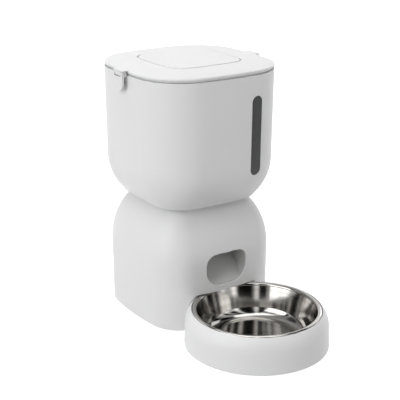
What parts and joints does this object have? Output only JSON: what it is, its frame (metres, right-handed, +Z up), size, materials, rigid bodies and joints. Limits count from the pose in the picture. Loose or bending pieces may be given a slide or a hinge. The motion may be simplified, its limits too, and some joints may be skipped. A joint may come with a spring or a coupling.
{
  "type": "automatic pet feeder",
  "caption": "Automatic pet feeder: rounded square food hopper with latched lid on a domed base, motor-driven dosing rotor, arched outlet and a steel bowl in a round holder.",
  "frame": {"origin": "on the floor, under the middle of the whole footprint, base and bowl together", "axes": "+Z up; the front, with the food outlet and the bowl, faces -Y; +X to the right as seen from the front"},
  "size_m": [0.1924, 0.3159, 0.308],
  "materials": {
    "white_housing": "satin",
    "white_inner": "matte",
    "chute_grey": "satin",
    "smoked_lens": "gloss",
    "bowl_steel": "polished",
    "hard_steel": "bright",
    "soft_rubber": "matte",
    "cream_acetal": "satin",
    "brass": "bright",
    "board_green": "satin",
    "black_plastic": "matte",
    "red_wire": "satin",
    "clear_pipe": "clear",
    "cell_wrap": "satin",
    "pack_paper": "matte"
  },
  "bodies": {
    "base": {"base_shell": "white_housing", "base_plate": "white_inner", "neck_deck": "white_housing", "outlet_chute": "chute_grey", "gear_deck": "white_inner", "rotor_axle": "hard_steel", "gear_motor": "hard_steel", "motor_can": "hard_steel", "motor_lead": "red_wire", "circuit_board": "board_green", "board_chips": "black_plastic", "power_socket": "black_plastic", "light_pipe": "clear_pipe", "battery_box": "white_inner", "battery_cells": "cell_wrap", "battery_contacts": "brass", "battery_lead": "red_wire", "rubber_feet": "soft_rubber", "base_screws": "hard_steel", "deck_screws": "hard_steel", "board_screws": "hard_steel"},
    "drive_gear": {"drive_gear": "cream_acetal"},
    "motor_pinion": {"motor_pinion": "brass"},
    "feed_button": {"feed_button": "white_housing"},
    "battery_door": {"battery_door": "white_inner"},
    "bowl": {"bowl_holder": "white_housing", "holder_base": "white_inner", "steel_bowl": "bowl_steel", "holder_pads": "soft_rubber"},
    "hopper": {"hopper_shell": "white_housing", "window_lens": "smoked_lens", "hopper_funnel": "white_inner", "rotor_pan": "white_inner", "outlet_shield": "white_inner", "pan_screws": "hard_steel"},
    "rotor": {"rotor_hub": "cream_acetal", "rotor_vanes": "soft_rubber", "stirrer": "cream_acetal"},
    "lid": {"lid_shell": "white_housing", "lid_panel": "white_housing", "lid_gasket": "soft_rubber", "desiccant_box": "white_inner", "desiccant_pack": "pack_paper", "latch_pins": "hard_steel"},
    "latch_left": {"latch_left": "white_housing"},
    "latch_right": {"latch_right": "white_housing"},
    "desiccant_cover": {"desiccant_cover": "white_inner"}
  },
  "joints": [
    {"name": "hopper_lift", "type": "slide", "parent": "base", "child": "hopper", "axis": [0, 0, 1], "range_m": [0, 0.06]},
    {"name": "lid_lift", "type": "slide", "parent": "hopper", "child": "lid", "axis": [0, 0, 1], "range_m": [0, 0.05]},
    {"name": "latch_left_swing", "type": "hinge", "parent": "lid", "child": "latch_left", "pos_m": [-0.0932, 0.0685, 0.3004], "axis": [0, 1, 0], "range_deg": [0, 90]},
    {"name": "latch_right_swing", "type": "hinge", "parent": "lid", "child": "latch_right", "pos_m": [0.0932, 0.0685, 0.3004], "axis": [0, -1, 0], "range_deg": [0, 90]},
    {"name": "desiccant_turn", "type": "hinge", "parent": "lid", "child": "desiccant_cover", "pos_m": [0, 0.0685, 0.288], "axis": [0, 0, 1], "range_deg": [0, 30]},
    {"name": "rotor_spin", "type": "hinge", "parent": "hopper", "child": "rotor", "pos_m": [0, 0.0685, 0.13], "axis": [0, 0, 1], "continuous": true},
    {"name": "gear_spin", "type": "hinge", "parent": "base", "child": "drive_gear", "pos_m": [0, 0.0685, 0.108], "axis": [0, 0, 1], "continuous": true},
    {"name": "pinion_spin", "type": "hinge", "parent": "base", "child": "motor_pinion", "pos_m": [0, 0.08725, 0.108], "axis": [0, 0, 1], "continuous": true},
    {"name": "bowl_slide", "type": "slide", "parent": "base", "child": "bowl", "axis": [0, -1, 0], "range_m": [0, 0.11]},
    {"name": "feed_button_press", "type": "slide", "parent": "base", "child": "feed_button", "axis": [0, -1, 0], "range_m": [0, 0.0015], "stiffness_N_per_m": 300},
    {"name": "battery_door_slide", "type": "slide", "parent": "base", "child": "battery_door", "axis": [0, 1, 0], "range_m": [0, 0.008]}
  ],
  "couplings": [
    {"joint": "gear_spin", "follows": "rotor_spin", "ratio": 1},
    {"joint": "pinion_spin", "follows": "rotor_spin", "ratio": -2}
  ]
}
